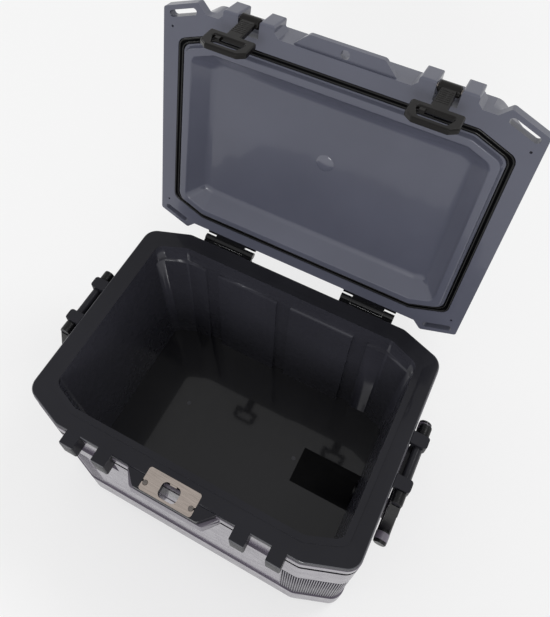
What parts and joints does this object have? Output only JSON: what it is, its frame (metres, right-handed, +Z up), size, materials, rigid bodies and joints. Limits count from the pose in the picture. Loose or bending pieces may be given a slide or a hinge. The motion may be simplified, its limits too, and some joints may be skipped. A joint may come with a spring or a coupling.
{
  "type": "hard cooler",
  "caption": "Hard-sided insulated cooler with a chamfered tub, a hinged lid that opens past upright, rubber T-latches, a steel lock plate and swing handles.",
  "frame": {"origin": "centre of the base, on the plane that the cooler stands on", "axes": "+X to the cooler's right end with the drain, +Y to the back with the hinges, +Z up"},
  "size_m": [0.505, 0.4824, 0.6263],
  "materials": {
    "shell_plastic": "satin",
    "liner_plastic": "glossy",
    "rim_plastic": "satin",
    "lid_plastic": "satin",
    "black_plastic": "satin",
    "black_rubber": "matte",
    "latch_rubber": "satin",
    "plate_steel": "brushed",
    "screw_steel": "polished",
    "foam": "matte"
  },
  "bodies": {
    "tub": {"outer_shell": "shell_plastic", "corner_panels": "shell_plastic", "rubber_feet": "black_rubber", "insulation_foam": "foam", "inner_liner": "liner_plastic", "top_rim": "rim_plastic", "latch_keepers": "rim_plastic", "rim_lock_tab": "rim_plastic", "lock_plate": "plate_steel", "plate_screws": "screw_steel", "handle_ears": "rim_plastic", "hinge_body_leaves": "black_plastic", "hinge_pins": "screw_steel", "hinge_body_screws": "screw_steel", "drain_fitting": "black_plastic", "drain_gasket": "black_rubber", "drain_nut": "black_plastic"},
    "drain_plug": {"drain_plug": "black_plastic", "drain_plug_seal": "black_rubber"},
    "lid": {"lid_tray": "lid_plastic", "foam_plug": "lid_plastic", "lid_shell": "lid_plastic", "lid_foam": "foam", "lid_gasket": "black_rubber", "tie_down_loops": "lid_plastic", "latch_bosses": "lid_plastic", "latch_pins": "screw_steel", "lid_lock_tab": "lid_plastic", "hinge_lid_leaves": "black_plastic", "hinge_lid_screws": "screw_steel"},
    "handle_left": {"handle_arms_left": "black_plastic", "handle_pivot_left": "rim_plastic", "grip_rod_left": "screw_steel", "grip_sleeve_left": "rim_plastic", "grip_collars_left": "shell_plastic", "grip_caps_left": "black_plastic"},
    "handle_right": {"handle_arms_right": "black_plastic", "handle_pivot_right": "rim_plastic", "grip_rod_right": "screw_steel", "grip_sleeve_right": "rim_plastic", "grip_collars_right": "shell_plastic", "grip_caps_right": "black_plastic"},
    "latch_left": {"latch_left": "latch_rubber"},
    "latch_right": {"latch_right": "latch_rubber"}
  },
  "joints": [
    {"name": "lid_hinge", "type": "hinge", "parent": "tub", "child": "lid", "pos_m": [0, 0.1729, 0.2807], "axis": [-1, 0, 0], "range_deg": [-103.4, 0]},
    {"name": "drain_plug_pull", "type": "slide", "parent": "tub", "child": "drain_plug", "axis": [1, 0, 0], "range_m": [0, 0.03]},
    {"name": "handle_right_swing", "type": "hinge", "parent": "tub", "child": "handle_right", "pos_m": [0.241, 0, 0.275], "axis": [0, -1, 0], "range_deg": [0, 165]},
    {"name": "handle_left_swing", "type": "hinge", "parent": "tub", "child": "handle_left", "pos_m": [-0.241, 0, 0.275], "axis": [0, 1, 0], "range_deg": [0, 165]},
    {"name": "latch_left_swing", "type": "hinge", "parent": "lid", "child": "latch_left", "pos_m": [-0.1187, 0.26442, 0.61396], "axis": [-1, 0, 0], "range_deg": [0, 96]},
    {"name": "latch_right_swing", "type": "hinge", "parent": "lid", "child": "latch_right", "pos_m": [0.1187, 0.26442, 0.61396], "axis": [-1, 0, 0], "range_deg": [0, 96]}
  ]
}
